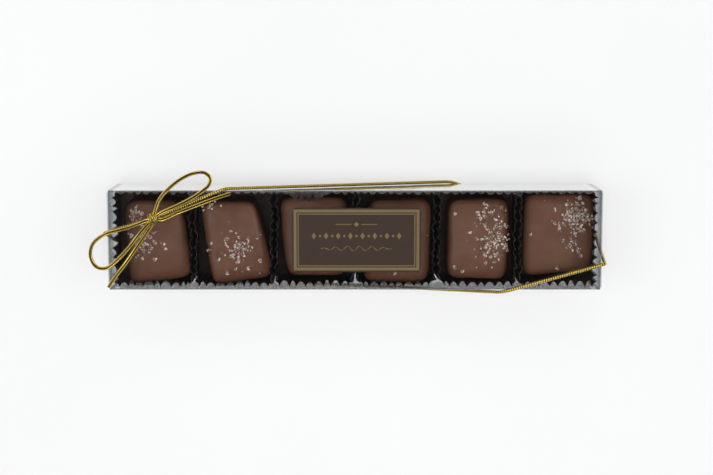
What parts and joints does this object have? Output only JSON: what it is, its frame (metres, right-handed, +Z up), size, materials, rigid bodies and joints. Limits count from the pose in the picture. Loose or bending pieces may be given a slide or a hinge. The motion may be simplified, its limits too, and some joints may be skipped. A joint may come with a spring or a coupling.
{
  "type": "box of salted caramels",
  "caption": "Shut clear gift box of chocolate-dipped salted caramels in fluted paper cups, with a blank label and a gold elastic bow.",
  "frame": {"origin": "under the middle of the pack, on the surface it stands on", "axes": "+X along the pack, +Y across it towards the long side that the right bow loop overhangs, +Z up through the lid"},
  "size_m": [0.2042, 0.0495, 0.0357],
  "materials": {
    "clear_film": "thin clear folding film, glossy",
    "chocolate": "milk chocolate, soft sheen",
    "salt": "coarse salt crystals, translucent white",
    "paper_cup": "dark brown glassine paper, pleated, faint gloss",
    "label_card": "dark brown printed label, satin",
    "gold_cord": "braided metallic gold elastic cord"
  },
  "bodies": {
    "root": {"clear_box": "clear_film", "caramel_1": "chocolate", "caramel_2": "chocolate", "caramel_3": "chocolate", "caramel_4": "chocolate", "caramel_5": "chocolate", "caramel_6": "chocolate", "cup_1": "paper_cup", "cup_2": "paper_cup", "cup_3": "paper_cup", "cup_4": "paper_cup", "cup_5": "paper_cup", "cup_6": "paper_cup", "label": "label_card", "elastic_band": "gold_cord", "bow_knot": "gold_cord", "bow_loop_right": "gold_cord", "bow_loop_left": "gold_cord", "bow_tail_left": "gold_cord", "bow_tail_right": "gold_cord"}
  },
  "joints": []
}
